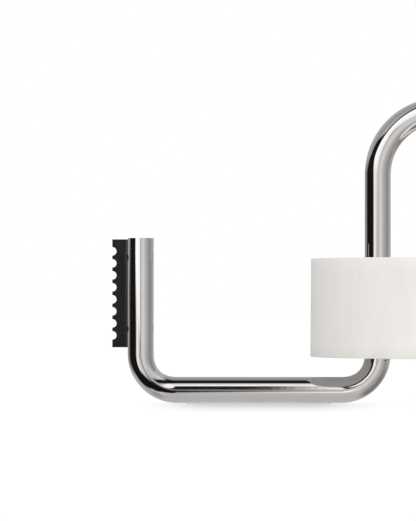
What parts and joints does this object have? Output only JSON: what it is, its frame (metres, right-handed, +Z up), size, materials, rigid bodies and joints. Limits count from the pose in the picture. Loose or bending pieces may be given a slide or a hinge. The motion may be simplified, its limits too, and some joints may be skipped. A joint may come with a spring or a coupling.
{
  "type": "tape dispenser",
  "caption": "Bent chrome tube stand: a roll of tape lies flat around an arched handle, and a post beside it carries an upright serrated blade.",
  "frame": {"origin": "where the tape roll's axis meets the table", "axes": "+Z up along the roll's axis, -X towards the blade post, -Y towards the viewer"},
  "size_m": [0.2724, 0.1288, 0.1498],
  "materials": {
    "chrome": "polished",
    "plug_steel": "turned",
    "rail_black": "satin",
    "blade_black": "fine-textured satin",
    "pin_steel": "plain",
    "screw_steel": "dressed flush",
    "clear_grip": "clear, tacky",
    "core_card": "matte",
    "tape_white": "satin"
  },
  "bodies": {
    "frame": {"frame_tube": "chrome", "post_plug": "plug_steel", "foot_plug": "plug_steel", "blade_rail": "rail_black", "blade": "blade_black", "blade_pins": "pin_steel", "rail_screws": "screw_steel", "rod_grip": "clear_grip", "foot_grip": "clear_grip", "loop_grip": "clear_grip"},
    "core": {"tape_core": "core_card"},
    "roll": {"tape_winding": "tape_white", "tape_end": "tape_white"}
  },
  "joints": [
    {"name": "roll_lift", "type": "slide", "parent": "frame", "child": "core", "axis": [0, 0, 1], "range_m": [0, 0.132]},
    {"name": "roll_spin", "type": "hinge", "parent": "core", "child": "roll", "pos_m": [0, 0, 0.047], "axis": [0, 0, 1], "continuous": true}
  ]
}
